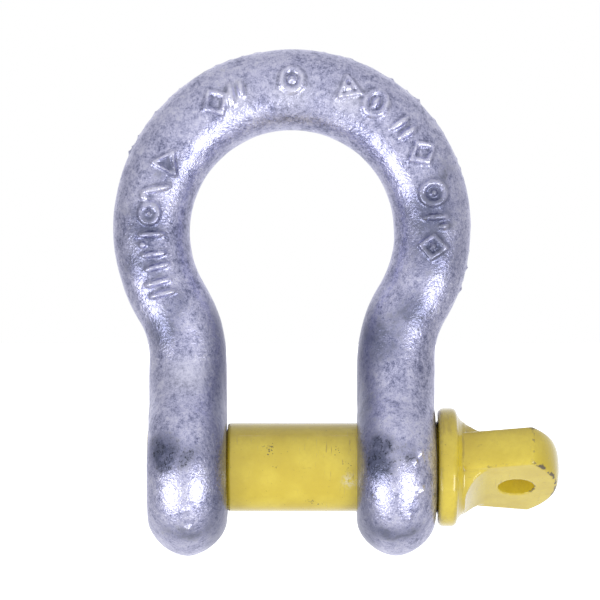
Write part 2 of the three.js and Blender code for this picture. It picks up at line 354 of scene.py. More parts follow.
def raise_shoulder(side):
    obj = start_piece(
        "shoulder", bpy.ops.mesh.primitive_circle_add,
        vertices=64, radius=SHOULDER_HALF * MM, fill_type="NGON", location=(side * LEG_X * MM, 0, 0),
    )
    depth, z = SHOULDER_HALF, 0
    rise = (SHOULDER_TOP - SHOULDER_FOOT) / SHOULDER_STEPS
    for level in [0] + [SHOULDER_FOOT + rise * i for i in range(SHOULDER_STEPS + 1)]:
        if level:
            bpy.ops.mesh.extrude_region_move(TRANSFORM_OT_translate={"value": (0, 0, (level - z) * MM)})
        squeeze = shoulder_depth(level) / depth
        centre = (side * LEG_X * MM, 0, level * MM)
        bpy.ops.transform.resize(value=(1, squeeze, 1), center_override=centre)
        depth, z = shoulder_depth(level), level
    close_up(obj)
    return obj


shoulders = [raise_shoulder(side) for side in (-1, 1)]
measure(shoulders[0])

# %% [markdown]
# ## One forging
# Steel flows in the die, so no seam shows between bar, shoulder and ear. The pieces are joined and
# remeshed into one skin, which is then smoothed only where they meet: a vertex group holds the
# smoothing to the front and back of the shoulder. Broad and fine unevenness from the hammer follows.

# %% Weld bar, ears and shoulders
WELD_SKIN = 0.5
WELD_ROUNDS = 110
HAMMERED = ((11, 0.3), (3.5, 0.12))   # width and depth of the unevenness
HAMMERED_MIDDLE = 0.68                # over a half, so that it goes more in than out


def smoothstep(low, high, value):
    """0 at low, 1 at high, and a smooth step between."""
    share = min(1, max(0, (value - low) / (high - low)))
    return share * share * (3 - 2 * share)


def weigh(obj, name, weight):
    """A vertex group whose weights follow from each vertex's place in mm."""
    group = obj.vertex_groups.new(name=name)
    for vertex in obj.data.vertices:
        value = weight(vertex.co / MM)
        if value > 0:
            group.add([vertex.index], value, "REPLACE")


def lumps(name, size):
    """A texture of clouds whose lumps are about size mm wide."""
    texture = bpy.data.textures.new(name, type="CLOUDS")
    texture.noise_scale = size * MM
    return texture


def at_shoulder(p):
    """1 on the front and back of the shoulders, fading out towards the sides, the ear and the leg."""
    return smoothstep(3, 7, abs(p.y)) * smoothstep(3, 9, p.z) * smoothstep(32, 26, p.z)


join(bow, ears + shoulders)
apply_modifier(bow, "REMESH", mode="VOXEL", voxel_size=WELD_SKIN * MM)
weigh(bow, "blend", at_shoulder)
apply_modifier(bow, "SMOOTH", vertex_group="blend", factor=0.5, iterations=WELD_ROUNDS)
for width, depth in HAMMERED:
    apply_modifier(
        bow, "DISPLACE", texture=lumps("hammered", width), texture_coords="LOCAL",
        strength=depth * MM, mid_level=HAMMERED_MIDDLE,
    )
measure(bow)

# %% [markdown]
# ## Raised marks
# A forging carries raised marks, which were sunk into its die. These are plain signs of no maker:
# rings, lozenges, triangles, bars and dots. Each starts flat, from primitives with a round section
# that would leave a die easily, and is then wrapped on the front of the crown. The bar curves two
# ways at once there, round its own middle and round the crown, and no one modifier bends a piece
# both ways. So the wrap moves each vertex by the same formula that places the bar's surface.

# %% Draw and wrap the marks
STROKE = 0.72
MARK_SCALE = 1.2


def outline_mark(sides, wide, tall):
    """A ring, or a frame of three or four sides, lying flat round the origin."""
    obj = start_piece(
        "mark", bpy.ops.mesh.primitive_torus_add, major_segments=sides, minor_segments=10,
        major_radius=wide * MARK_SCALE / 2 * MM, minor_radius=STROKE * MM,
    )
    bpy.ops.transform.resize(value=(1, tall / wide, 1), center_override=(0, 0, 0))
    bpy.ops.mesh.subdivide(number_cuts=2)
    close_up(obj)
    return obj


def stroke_mark(wide, tall, lean=0, x=0, y=0):
    """A bar, or a dot if it is as wide as tall. It leans by degrees, and is moved by x and y in mm."""
    obj = start_piece(
        "mark", bpy.ops.mesh.primitive_uv_sphere_add, segments=16, ring_count=12,
        radius=wide * MARK_SCALE / 2 * MM,
    )
    bpy.ops.transform.resize(value=(1, tall / wide, 2 * STROKE / wide), center_override=(0, 0, 0))
    bpy.ops.transform.rotate(value=math.radians(lean), orient_axis="Z", center_override=(0, 0, 0))
    bpy.ops.transform.translate(value=(x * MARK_SCALE * MM, y * MARK_SCALE * MM, 0))
    close_up(obj)
    return obj


def wrap(obj, angle, tilt):
    """Lays a flat mark on the bar, at an angle round the crown and a tilt round the bar."""
    line_z = CROWN_Z + CROWN_RADIUS * math.sin(math.radians(angle))
    share = (line_z - BEND_END) / (CROWN_Z + CROWN_RADIUS - BEND_END)
    bar_radius = BAR_THIN + CROWN_SWELL * share
    for vertex in obj.data.vertices:
        along, across, high = vertex.co / MM
        round_bar = math.radians(tilt) + across / bar_radius
        reach = bar_radius + high
        out = CROWN_RADIUS + reach * math.sin(round_bar)
        round_crown = math.radians(angle) - along / out
        x = out * math.cos(round_crown)
        y = -reach * math.cos(round_bar)
        z = CROWN_Z + out * math.sin(round_crown)
        vertex.co = Vector((x, y, z)) * MM
    return obj


MARKS = (
    # angle round the crown, tilt round the bar, and what is drawn there
    (121, 10, lambda: [outline_mark(4, 4.2, 4.6)]),
    (113, 9, lambda: [stroke_mark(1.2, 4.4, 12, -0.6), stroke_mark(1.2, 3.4, 12, 1.4, 0.3)]),
    (90, 12, lambda: [outline_mark(20, 3.6, 4.0), stroke_mark(1.3, 1.3)]),
    (68, 15, lambda: [outline_mark(3, 4.4, 4.8), stroke_mark(1.2, 1.2)]),
    (56.5, 15, lambda: [outline_mark(20, 3.8, 4.4), stroke_mark(1.1, 2.6)]),
    (42, 15, lambda: [stroke_mark(1.2, 4.6, 8, -1.2), stroke_mark(1.2, 4.6, 8, 1.0)]),
    (30.5, 15, lambda: [outline_mark(4, 3.8, 4.8)]),
    (14.5, 7, lambda: [outline_mark(20, 3.8, 4.2), stroke_mark(1.2, 1.2)]),
    (3.2, 4, lambda: [stroke_mark(1.1, 5.2, 0, -0.8), stroke_mark(1.1, 2.2, 0, 0.9, 1.4)]),
    (-6.8, 1, lambda: [outline_mark(4, 4.0, 4.4), stroke_mark(1.2, 1.2)]),
    (204, 3, lambda: [stroke_mark(1.1, 5.4, 10, -1.1), stroke_mark(1.1, 5.4, 10, 1.1)]),
    (195.5, -3, lambda: [stroke_mark(1.1, 5.0)]),
    (188.5, -3, lambda: [stroke_mark(1.1, 5.0, 0, -0.7), stroke_mark(1.2, 1.4, 0, 1.2, 1.8)]),
    (182, -2, lambda: [stroke_mark(1.1, 5.0)]),
    (173.5, 3, lambda: [outline_mark(20, 3.2, 3.0), stroke_mark(1.1, 1.1)]),
    (163.5, 1, lambda: [stroke_mark(1.2, 6.0, -28), stroke_mark(1.3, 1.5, 0, -1.9, 1.6)]),
    (152, 0, lambda: [outline_mark(3, 4.4, 5.0)]),
)
marks = [wrap(part, angle, tilt) for angle, tilt, draw in MARKS for part in draw()]
print(len(marks), "strokes in", len(MARKS), "marks")

# %% [markdown]
# ## The trimmed flash and the zinc's blisters
# Steel that squeezed out between the dies was trimmed off along the bow's outline, and the trim left
# a broken, lumpy line there. It is a thin cord spun round the crown just under the skin, shaken by
# a Displace modifier until its lumps break through. A few blisters of zinc sit on the ears' fronts.

# %% Spin the flash line
FLASH_RADIUS = 0.75
FLASH_OUT = CROWN_RADIUS + 7.25
FLASH_RISE = 1.013      # the cord is stretched upwards, as the bar is thicker at the crown's top
FLASH_LUMP = 1.1
FLASH_SHAKE = 3
FLASH_EVENNESS = 0.7    # the lower, the shorter the quiet stretches at the top and the sides


def broken_at(p):
    """How much the cord is shaken: most at the crown's corners, not at all at its top and sides."""
    return abs(math.sin(2 * math.atan2(p.z - CROWN_Z, p.x))) ** FLASH_EVENNESS


def flash_line(start, turn, steps):
    """A lumpy cord along the outer side of the crown. Its angles are in degrees round the crown."""
    begin = math.radians(start)
    crown = (0, 0, CROWN_Z * MM)
    place = (FLASH_OUT * math.cos(begin) * MM, 0, (CROWN_Z + FLASH_OUT * math.sin(begin)) * MM)
    obj = start_piece(
        "flash", bpy.ops.mesh.primitive_circle_add, vertices=12, radius=FLASH_RADIUS * MM,
        fill_type="NGON", location=place,
    )
    bpy.ops.transform.rotate(value=begin, orient_axis="Y", center_override=place)
    bpy.ops.mesh.spin(steps=steps, angle=math.radians(turn), center=crown, axis=(0, 1, 0))
    bpy.ops.mesh.select_all(action="SELECT")
    bpy.ops.transform.resize(value=(1, 1, FLASH_RISE), center_override=crown)
    close_up(obj)
    weigh(obj, "broken", broken_at)
    apply_modifier(
        obj, "DISPLACE", vertex_group="broken", texture=lumps("flash", FLASH_LUMP), texture_coords="LOCAL",
        strength=FLASH_SHAKE * MM, mid_level=0.5,
    )
    return obj


flash = flash_line(start=-20, turn=200, steps=330)
measure(flash)

# %% Drop the blisters
BLISTERS = (
    # x, height and size in mm, on the ears' fronts
    (26.6, 3.6, 0.75), (25.6, 1.9, 0.55), (26.8, -3.9, 0.8), (25.9, -5.0, 0.6), (24.2, -9.8, 0.8),
    (17.2, -5.4, 0.5), (-21.6, -11.9, 0.7), (-22.0, -8.2, 0.5),
)
BLISTER_FLATNESS = 0.55


def drop_blister(x, z, size):
    """A flattened ball on the rim of an ear, whose section is solved for its reach at x."""
    share = (1 - (abs(abs(x) - EAR_X) / EAR_HALF) ** (1 / RIM_NOSE)) ** (1 / RIM_FALL)
    reach = EAR_FACE + (EAR_RADIUS - EAR_FACE) * share
    place = Vector((x, -math.sqrt(reach ** 2 - z ** 2), z)) * MM
    obj = start_piece(
        "blister", bpy.ops.mesh.primitive_uv_sphere_add, segments=16, ring_count=10,
        radius=size * MM, location=place,
    )
    bpy.ops.transform.resize(value=(1, BLISTER_FLATNESS, 1), center_override=place)
    close_up(obj)
    return obj


blisters = [drop_blister(*blister) for blister in BLISTERS]
print(len(blisters), "blisters")

# %% [markdown]
# ## One skin again
# Marks, flash and blisters go into the forging as it would cool: one fine remesh makes a single
# skin, and a light smoothing rounds their edges and fills their feet, as the zinc does.

# %% Melt the details into the forging
BOW_SKIN = 0.33
BOW_ROUNDS = 3
join(bow, marks + [flash] + blisters)
apply_modifier(bow, "REMESH", mode="VOXEL", voxel_size=BOW_SKIN * MM)
apply_modifier(bow, "SMOOTH", factor=0.5, iterations=BOW_ROUNDS)
measure(bow)

# %% [markdown]
# ## The holes
# The right ear has a plain hole with a little clearance round the pin. The left ear is tapped. A
# tap cuts a spiral groove, so the cutter here is the same: a turned core with wide mouths, and a
# ridge that the Screw modifier sweeps along it from one four-sided section. Decimate then spends
# the triangles where the surface turns and saves them on the plain bar.

# %% Make the thread's ridge
ROOT_SINK = 0.2      # the ridge's foot lies this far inside its core
THREAD_STEPS = 56    # round one turn of thread


def helix(name, root, start, end):
    """A right-handed ridge of thread from start to end, standing on a core of radius root."""
    half_root = (PITCH - THREAD_CREST) / 2
    half_crest = THREAD_CREST / 2
    section = [
        (-half_root, -ROOT_SINK), (-half_crest, THREAD_DEPTH),
        (half_crest, THREAD_DEPTH), (half_root, -ROOT_SINK),
    ]
    obj = draw_line(name, [(start + x, root + out) for x, out in section])
    fill_outline()
    bpy.ops.mesh.delete(type="ONLY_FACE")
    bpy.ops.object.mode_set(mode="OBJECT")
    turns = math.ceil((end - start) / PITCH)
    apply_modifier(
        obj, "SCREW", axis="X", angle=math.tau, screw_offset=PITCH * MM, iterations=turns,
        steps=THREAD_STEPS, render_steps=THREAD_STEPS,
    )
    open_all(obj)
    bpy.ops.mesh.fill_holes(sides=4)
    close_up(obj)
    return obj


# %% Cut the tapped hole
OVERRUN = 1          # each cutter runs this far out of the ear
TAPPED_MOUTH = 1.4   # chamfer at both ends of the tapped hole
outside = EAR_OUTER + OVERRUN
inside = EAR_INNER - OVERRUN
tap_wide = TAPPED_CREST + TAPPED_MOUTH + OVERRUN
tap = turn_on_lathe("tap", [
    (-outside, 0), (-outside, tap_wide), (-EAR_OUTER + TAPPED_MOUTH, TAPPED_CREST),
    (-EAR_INNER - TAPPED_MOUTH, TAPPED_CREST), (-inside, tap_wide), (-inside, 0),
])
cut_or_add(tap, helix("tap_ridge", TAPPED_CREST, -outside - PITCH / 2, -inside), "UNION")
measure(tap)

# %% Cut the plain hole
SHANK_CLEARANCE = 0.4
PLAIN_MOUTH = 0.4    # chamfer at both ends of the plain hole
PLAIN_HOLE = SHANK_RADIUS + SHANK_CLEARANCE
drill_wide = PLAIN_HOLE + PLAIN_MOUTH + OVERRUN
drill = turn_on_lathe("drill", [
    (inside, 0), (inside, drill_wide), (EAR_INNER + PLAIN_MOUTH, PLAIN_HOLE),
    (EAR_OUTER - PLAIN_MOUTH, PLAIN_HOLE), (outside, drill_wide), (outside, 0),
])
cut_or_add(bow, tap, "DIFFERENCE")
cut_or_add(bow, drill, "DIFFERENCE")
thin_out(bow)

# %% [markdown]
# ## The pin's threaded end and shank
# The pin is turned from bar. Its threaded end is a core, a ridge swept by the Screw modifier, and a
# turned envelope that trims the ridge at both ends. The shank is thicker, and its shoulder would
# stop on the tapped ear. It is drawn as one profile and spun.

# %% Turn the threaded end and the shank
SHANK_GAP = 0.1      # between the shank's shoulder and the tapped ear
SHANK_EDGE = ((0, 0.45), (0.12, 0.15), (0.45, 0))   # its rounded end: how far along, how far under
SHANK_X = -EAR_INNER + SHANK_GAP
into = SHANK_X + 0.7
pin = turn_on_lathe("pin_forging", [(PIN_END, 0), (PIN_END, PIN_ROOT), (into, PIN_ROOT), (into, 0)])
cut_or_add(pin, helix("pin_ridge", PIN_ROOT, PIN_END - PITCH, into + PITCH / 2), "UNION")
envelope = turn_on_lathe("envelope", [
    (PIN_END, 0), (PIN_END, PIN_ROOT), (PIN_END + THREAD_DEPTH, PIN_CREST), (into, PIN_CREST), (into, 0),
])
cut_or_add(pin, envelope, "INTERSECT")
shank = turn_on_lathe("shank", [
    (SHANK_X, 0), *((SHANK_X + along, SHANK_RADIUS - under) for along, under in SHANK_EDGE),
    (COLLAR_X + OVERRUN, SHANK_RADIUS), (COLLAR_X + OVERRUN, 0),
], steps=128)
cut_or_add(pin, shank, "UNION")
measure(pin)

# %% [markdown]
# ## The pin's head
# The head was forged flat from the round: a collar that seats on the ear, a neck that is hollowed on
# two sides, and a tab that spreads like a fan to a curved end. The collar is turned. The neck is a
# round rod cut by two ramps. The tab is an outline, filled and inset step by step on both sides, so
# that its narrow sides bulge. All of it is welded, softened by paint, and the eye is drilled last.

# %% Turn the collar
ROUNDING = 1.2
ROUNDING_STEPS = 8


def rounded(x, way):
    """A quarter round up to the collar's rim, with its middle at x, or down from it if way is -1."""
    points = []
    for i in range(ROUNDING_STEPS + 1):
        angle = i / ROUNDING_STEPS * math.pi / 2
        height = COLLAR_RADIUS - ROUNDING + ROUNDING * math.sin(angle)
        points.append((x - way * ROUNDING * math.cos(angle), height))
    return points[::way]


NECK_STUB = 0.5
head = turn_on_lathe("head", [
    (COLLAR_X, 0), *rounded(COLLAR_X + ROUNDING, 1), *rounded(COLLAR_END - ROUNDING, -1),
    (NECK_X, NECK_RADIUS), (NECK_X + NECK_STUB, NECK_RADIUS), (NECK_X + NECK_STUB, 0),
], steps=128)
measure(head)

# %% Cut the neck's ramps
TAB_HALF = 4.3
RAMP_LENGTH = 6
RAMP_BEND = 0.45     # share of its length at which the hollow bends most
RAMP_STEP = 0.5      # the ramps start this much inside the neck's round
RAMP_FOOT = 4.2      # and end just inside the tab's flats
RAMP_PAST = 2        # the cutter runs this far past the neck
CUTTER_REACH = 12    # and this far out to each side of it
HOLLOW_STEPS = 10
NECK_SINK = 0.3      # neck and tab start this far inside the collar's back
neck_start = NECK_X - NECK_SINK
ramp_end = NECK_X + RAMP_LENGTH
neck = turn_on_lathe("neck", [
    (neck_start, 0), (neck_start, NECK_RADIUS), (ramp_end, NECK_RADIUS), (ramp_end, 0),
])


def hollow_point(t):
    """A point of the ramp's hollow line, a curve drawn towards one corner, for t from 0 to 1."""
    corner_x = NECK_X + RAMP_BEND * RAMP_LENGTH
    x = (1 - t) ** 2 * NECK_X + 2 * t * (1 - t) * corner_x + t ** 2 * ramp_end
    z = (1 - t) ** 2 * (NECK_RADIUS - RAMP_STEP) + (1 - (1 - t) ** 2) * RAMP_FOOT
    return x, z


hollow = [hollow_point(i / HOLLOW_STEPS) for i in range(HOLLOW_STEPS + 1)]
beyond = ramp_end + RAMP_PAST
hollow += [(beyond, RAMP_FOOT), (beyond, CUTTER_REACH), (NECK_X, CUTTER_REACH)]
for way in (-1, 1):
    ramp = draw_line("ramp", [(x, way * z) for x, z in hollow])
    fill_outline()
    bpy.ops.transform.translate(value=(0, -CUTTER_REACH * MM, 0))
    bpy.ops.mesh.extrude_region_move(TRANSFORM_OT_translate={"value": (0, 2 * CUTTER_REACH * MM, 0)})
    close_up(ramp)
    cut_or_add(neck, ramp, "DIFFERENCE")
measure(neck)

# %% Spread the tab
TAB_WIDTH = 25.7
TAB_FLARE = 0.2
TAB_END_RADIUS = 15.8
TAB_BULGE = 1.0
TAB_END_STEPS = 12   # from the tip to each corner
FLAT_BAND = 0.7      # of the narrow sides, between their two rounded edges
half_width = TAB_WIDTH / 2
end_radius = TAB_END_RADIUS + TAB_BULGE
end_angle = math.asin(half_width / end_radius)
corner_x = TIP_X - end_radius * (1 - math.cos(end_angle))
start_half = half_width - TAB_FLARE * (corner_x - NECK_X)


def end_point(angle):
    return TIP_X - end_radius * (1 - math.cos(angle)), end_radius * math.sin(angle)


curved_end = [end_point(end_angle * (i / TAB_END_STEPS - 1)) for i in range(2 * TAB_END_STEPS + 1)]
outline = [(neck_start, -start_half), *curved_end, (neck_start, start_half)]
tab = draw_line("tab", outline, flat=True)
fill_outline()
bpy.ops.transform.translate(value=(0, 0, -FLAT_BAND / 2 * MM))
bpy.ops.mesh.extrude_region_move(TRANSFORM_OT_translate={"value": (0, 0, FLAT_BAND * MM)})
close_up(tab)


def pick_faces(obj, test):
    """Opens a piece in edit mode with only those faces selected whose normal passes the test."""
    use_only(obj)
    bpy.ops.object.mode_set(mode="EDIT")
    bpy.ops.mesh.select_mode(type="FACE")
    bpy.ops.mesh.select_all(action="DESELECT")
    mesh = bmesh.from_edit_mesh(obj.data)
    for face in mesh.faces:
        face.select_set(test(face.normal))
    bmesh.update_edit_mesh(obj.data)


# %% Inset the tab's flats
EDGE_STEPS = 6
for way in (-1, 1):
    pick_faces(tab, lambda normal: normal.z * way > 0.9)
    inset, height = 0, 0
    for i in range(1, EDGE_STEPS + 1):
        angle = i / EDGE_STEPS * math.pi / 2
        next_inset = TAB_BULGE * (1 - math.cos(angle))
        next_height = (TAB_HALF - FLAT_BAND / 2) * math.sin(angle)
        bpy.ops.mesh.inset(thickness=(next_inset - inset) * MM, depth=(next_height - height) * MM)
        inset, height = next_inset, next_height
    close_up(tab)
measure(tab)

# %% Weld the head and drill the eye
EYE_RADIUS = 3.8
EYE_FROM_TIP = 9.2
EYE_REACH = 9
EYE_X = TIP_X - EYE_FROM_TIP
HEAD_TURN = 63
HEAD_DROP = 0.35
PIN_SKIN = 0.27
PIN_ROUNDS = 2
cut_or_add(neck, tab, "UNION")
eye = turn_on_lathe("eye", [
    (-EYE_REACH, 0), (-EYE_REACH, EYE_RADIUS), (EYE_REACH, EYE_RADIUS), (EYE_REACH, 0),
], steps=48)
open_all(eye)
bpy.ops.transform.rotate(value=math.pi / 2, orient_axis="Y", center_override=(0, 0, 0))
bpy.ops.transform.translate(value=(EYE_X * MM, 0, 0))
close_up(eye)
cut_or_add(neck, eye, "DIFFERENCE")
open_all(neck)
lean = math.radians(90 - HEAD_TURN)
bpy.ops.transform.rotate(value=lean, orient_axis="X", center_override=(0, 0, 0))
bpy.ops.transform.translate(value=(0, 0, -HEAD_DROP * MM))
close_up(neck)
cut_or_add(head, neck, "UNION")
cut_or_add(pin, head, "UNION")
apply_modifier(pin, "REMESH", mode="VOXEL", voxel_size=PIN_SKIN * MM)
apply_modifier(pin, "SMOOTH", factor=0.5, iterations=PIN_ROUNDS)
thin_out(pin)

# %% [markdown]
# ## Where the surface is high and low
# Paint wears off edges and dirt stays in corners, so both finishes need to know where the surface is
# high or low. Each vertex is compared with a heavily smoothed copy of the mesh: it stands out of it
# on an edge and lies under it in a corner. The distance is kept as an attribute called relief, 0.5
# on a plain surface, and the materials read it.

# %% Measure the relief
LONG_EDGE = 2        # longer edges cross plain stretches, where the comparison would mislead
RELIEF_ROUNDS = 14
RELIEF_REACH = 0.3   # a vertex that stands out by this much is 1, and one that lies in by it is 0


def add_relief(obj):
    """Stores how far each vertex stands out of the smoothed surface, from 0 to 1."""
    mesh = obj.data
    count = len(mesh.vertices)
    start = np.empty(count * 3)
    normals = np.empty(count * 3)
    edges = np.empty(len(mesh.edges) * 2, dtype=np.int64)
    mesh.vertices.foreach_get("co", start)
    mesh.vertices.foreach_get("normal", normals)
    mesh.edges.foreach_get("vertices", edges)
    start = start.reshape(-1, 3)
    edges = edges.reshape(-1, 2)
    short = np.linalg.norm(start[edges[:, 0]] - start[edges[:, 1]], axis=1) < LONG_EDGE * MM
    a, b = edges[short].T
    neighbours = np.bincount(np.concatenate((a, b)), minlength=count)[:, None]
    smooth = start.copy()
    for _ in range(RELIEF_ROUNDS):
        total = np.stack([
            np.bincount(a, smooth[b, axis], count) + np.bincount(b, smooth[a, axis], count)
            for axis in range(3)
        ], axis=1)
        smooth = (smooth + total) / (1 + neighbours)
    proud = ((start - smooth) * normals.reshape(-1, 3)).sum(1) / MM
    relief = np.clip(0.5 + proud / (2 * RELIEF_REACH), 0, 1).astype(np.float32)
    mesh.attributes.new("relief", "FLOAT", "POINT").data.foreach_set("value", relief)
    print(obj.name, "stands proud by", proud.min().round(3), "to", proud.max().round(3), "mm")


add_relief(bow)
add_relief(pin)

# %% [markdown]
# ## Writing shader maths
# A material is a graph of nodes, but its maths reads best as arithmetic. The class Value wraps one
# output of a node: adding, subtracting or multiplying two of them adds the Math node and returns
# its output. Graph holds the tree of a material or of the world, and its method node adds any other
# kind of node, with its settings first and then the values or links of its sockets. Finish is the
# graph of one material, with the few things that every finish here is made of.

# %% Shader tools
class Value:
    """One output socket that can be used in arithmetic."""

    def __init__(self, graph, socket):
        self.graph = graph
        self.socket = socket

    def math(self, operation, first, second=0.0):
        node = self.graph.node("ShaderNodeMath", {"operation": operation}, {0: first, 1: second})
        return Value(self.graph, node.outputs[0])

    def absolute(self):
        return self.math("ABSOLUTE", self)

    def __add__(self, other):
        return self.math("ADD", self, other)

    def __radd__(self, other):
        return self.math("ADD", other, self)

    def __sub__(self, other):
        return self.math("SUBTRACT", self, other)

    def __rsub__(self, other):
        return self.math("SUBTRACT", other, self)

    def __mul__(self, other):
        return self.math("MULTIPLY", self, other)

    def __rmul__(self, other):
        return self.math("MULTIPLY", other, self)


class Graph:
    """A tree of nodes, of a material or of the world."""

    def __init__(self, tree):
        self.tree = tree

    def node(self, kind, settings=None, sockets=None):
        """Adds a node: its settings first, then its sockets, each a number, a colour or a link."""
        node = self.tree.nodes.new(kind)
        for setting, value in (settings or {}).items():
            if setting == "stops":
                self.set_stops(node.color_ramp, value)
            else:
                setattr(node, setting, value)
        for socket, value in (sockets or {}).items():
            self.feed(node.inputs[socket], value)
        return node

    def feed(self, socket, value):
        if isinstance(value, Value):
            value = value.socket
        if isinstance(value, bpy.types.NodeSocket):
            self.tree.links.new(value, socket)
        else:
            socket.default_value = value

    def set_stops(self, ramp, stops):
        while len(ramp.elements) < len(stops):
            ramp.elements.new(1.0)
        for element, (position, colour) in zip(ramp.elements, stops):
            element.position = position
            element.color = (*colour, 1)

    def step(self, value, low, high):
        """0 at low, 1 at high and a smooth step between, whichever of the two is the larger."""
        if low > high:
            return 1 - self.step(value, high, low)
        node = self.node(
            "ShaderNodeMapRange", {"interpolation_type": "SMOOTHSTEP"},
            {"Value": value, "From Min": low, "From Max": high},
        )
        return Value(self, node.outputs["Result"])

    def ramp(self, value, stops):
        node = self.node("ShaderNodeValToRGB", {"stops": stops}, {"Fac": value})
        return Value(self, node.outputs["Color"])


class Finish(Graph):
    """One material on a Principled shader."""

    def __init__(self, name, **constants):
        self.material = bpy.data.materials.new(name)
        self.material.use_nodes = True
        super().__init__(self.material.node_tree)
        self.shader = self.tree.nodes["Principled BSDF"]
        for socket, value in constants.items():
            self.shader.inputs[socket.replace("_", " ")].default_value = value
        place = self.node("ShaderNodeTexCoord").outputs["Object"]
        scaled = self.node("ShaderNodeVectorMath", {"operation": "SCALE"}, {"Vector": place, "Scale": 1 / MM})
        self.place = Value(self, scaled.outputs["Vector"])

    def noise(self, size, detail=3.0, rough=0.5, stretch=(1, 1, 1), shift=(0, 0, 0)):
        """Noise whose features are about size mm across, from 0 to 1."""
        mapped = self.node(
            "ShaderNodeMapping", None, {"Vector": self.place, "Scale": stretch, "Location": shift},
        )
        noise = self.node("ShaderNodeTexNoise", None, {
            "Vector": mapped.outputs[0], "Scale": 1 / size, "Detail": detail, "Roughness": rough,
        })
        return Value(self, noise.outputs["Fac"])

    def place_parts(self):
        """x, y and z in mm."""
        split = self.node("ShaderNodeSeparateXYZ", None, {0: self.place})
        return [Value(self, output) for output in split.outputs]

    def near(self, centre, radius):
        """1 at a point given in mm, falling to 0 at a radius."""
        node = self.node("ShaderNodeVectorMath", {"operation": "DISTANCE"}, {0: self.place, 1: centre})
        return self.step(Value(self, node.outputs["Value"]), radius, 0)

    def gather(self, places):
        """The sum of soft spots, each given as a centre and a radius in mm and a strength."""
        return sum(self.near(centre, radius) * strength for centre, radius, strength in places)

    def mix(self, share, base, top):
        """A colour between base and top. The sockets' numbers are those of a colour mix."""
        node = self.node("ShaderNodeMix", {"data_type": "RGBA"}, {0: share, 6: base, 7: top})
        return Value(self, node.outputs[2])

    def attribute(self, name):
        return Value(self, self.node("ShaderNodeAttribute", {"attribute_name": name}).outputs["Fac"])

    def bump(self, height, depth):
        """Feeds the shader's normal from a height from 0 to 1, whose full depth is in mm."""
        node = self.node("ShaderNodeBump", None, {"Height": height, "Distance": depth * MM, "Strength": 1.0})
        self.feed(self.shader.inputs["Normal"], node.outputs["Normal"])

    def put_on(self, obj):
        """Makes this the piece's one material."""
        obj.data.materials.clear()
        obj.data.materials.append(self.material)
        print(self.material.name, "on", obj.name, "with", len(self.tree.nodes), "nodes")


# %% [markdown]
# ## Galvanised zinc
# Molten zinc freezes on the steel as a skin of faint crystals, bluish grey and satin. Its colour
# comes from noise at four sizes, from blotches as broad as the bar to grain finer than a quarter of
# a millimetre, and edges are a little brighter than hollows.

# %% Zinc's grain
zinc = Finish("galvanised_zinc", Metallic=0.92)
ZINC_TONES = (
    (0.41, (0.17, 0.18, 0.32)), (0.49, (0.44, 0.45, 0.67)),
    (0.55, (0.65, 0.65, 0.89)), (0.63, (0.82, 0.82, 1.0)),
)
blotch = zinc.noise(9, 3, 0.55)
cloud = zinc.noise(2.6, 5, 0.6)
crystal = zinc.noise(0.8, 5, 0.7)
grain = zinc.noise(0.2, 2, 0.6)
relief = zinc.attribute("relief")
tone = 0.16 * blotch + 0.28 * cloud + 0.40 * crystal + 0.20 * grain + (relief - 0.5) * 0.12
skin = zinc.ramp(tone, ZINC_TONES)
print("zinc in", len(ZINC_TONES), "tones")

# %% [markdown]
# ## Stains, painted shade and painted highlights on the zinc
# Dark spots lie mostly on the ears and where the limbs bend. Where the limbs bend they are stains of
# burnt-on flux. On the ears' sides and in the crescents under their highlights they are painted shade.
# Other places shine, partly as rubbed zinc and partly as painted highlights. Both are soft spots with
# a place on the bow, and the noise breaks up their edges. The bow's inner side and every crevice are
# darkened too, as painted shade.

# %% Zinc's stains, painted shade and painted highlights
STAINS_AND_SHADE = (
    # a point near the surface and the dark spot's reach in mm, and its strength; on the ears painted shade,
    # elsewhere stains
    ((-27, -15, 4.4), 6.2, 1.15), ((-25.2, -16, 1.2), 5.0, 0.75), ((-21, -17, 3.2), 4.5, 0.55),
    ((18.2, -16, 4.8), 5.6, 1.15), ((18.2, -16.6, 0.2), 5.2, 1.15), ((24, -17, 3.4), 4.0, 0.5),
    ((-23, -16, 2.5), 7.5, 0.45), ((22, -16, 2.5), 7.5, 0.45), ((-33, -6, 43), 5, 1.0),
    ((-25.5, -11.5, -12.5), 5, 0.55), ((-22, -13, -13.5), 5, 0.6), ((-18.5, -11.5, -12.5), 5, 0.55),
    ((18.5, -11.5, -12.5), 5, 0.75), ((22, -13, -13.5), 5, 0.7), ((25.5, -11.5, -12.5), 5, 0.65),
    ((-31, -7.5, 51), 9, 0.9), ((28.5, -8, 54), 10, 1.2), ((30, -7.5, 45), 9, 1.0),
    ((-29, -8, 41), 6, 0.6), ((-27.5, -7, 29), 7, 1.2), ((17, -7, 12), 7, 0.7),
    ((19, -7, 27), 9, 1.0), ((-20, 0, 84), 5, 1.0), ((-26, -7, 62), 7, 0.8),
    ((26, -7, 33), 7, 1.3), ((31, -6, 62), 6, 0.7), ((-24, -8, 35), 5, 0.8),
)
RUBBED_AND_HIGHLIT = (
    # a point near the surface and the reach of the shine in mm, and its strength; part rubbed zinc, part
    # painted highlight
    ((-22, -8, 19), 7, 1), ((0, -9, 79), 7, 1), ((12, -8, 78), 6, 1), ((-12, -8, 78), 6, 1),
)
# Dark spots: stains where the limbs bend, painted shade on the ears' sides and below their highlights.
stain_and_shade = zinc.gather(STAINS_AND_SHADE)
# Bright spots: partly rubbed zinc, partly painted highlights.
rubbed_and_highlit = zinc.gather(RUBBED_AND_HIGHLIT)
x, _, z = zinc.place_parts()
